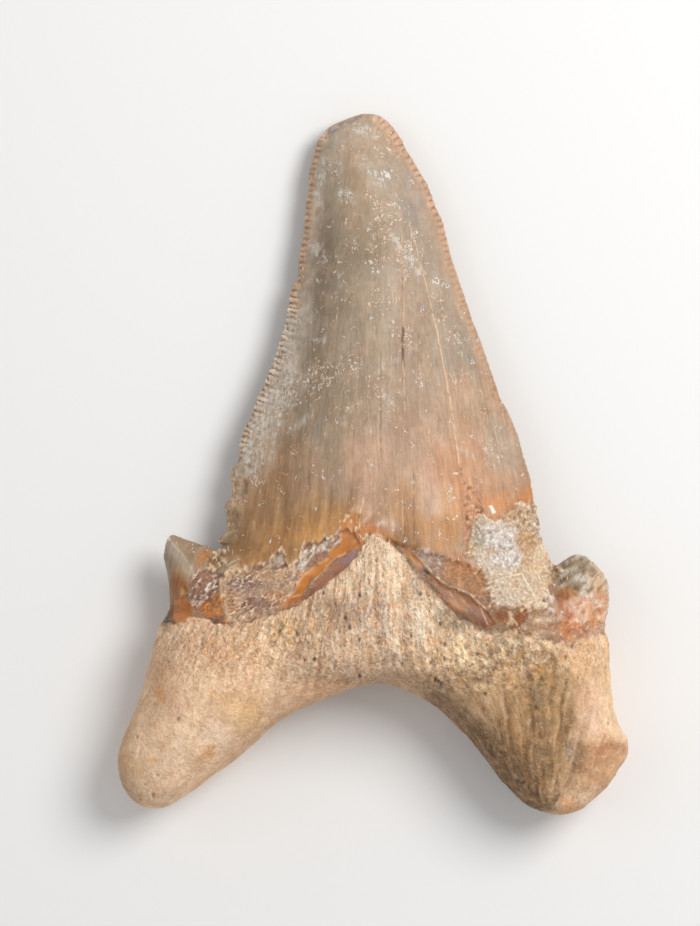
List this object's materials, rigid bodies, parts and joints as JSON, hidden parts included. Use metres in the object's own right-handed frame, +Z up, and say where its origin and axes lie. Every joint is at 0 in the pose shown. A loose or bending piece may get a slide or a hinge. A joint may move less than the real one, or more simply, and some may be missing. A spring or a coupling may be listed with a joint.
{
  "type": "fossil shark tooth",
  "caption": "Serrated fossil shark tooth with an arched two-lobed root and side cusplets, lying on its flat face.",
  "frame": {"origin": "middle of the tooth's outline, on the surface it lies on", "axes": "+Y towards the tip of the crown, +Z up out of the fuller face, +X to the right when that face is seen"},
  "size_m": [0.0548, 0.076, 0.0162],
  "materials": {
    "fossil_tooth": "glossy enamel over a matt, fibrous root"
  },
  "bodies": {
    "root": {"tooth": "fossil_tooth"}
  },
  "joints": []
}
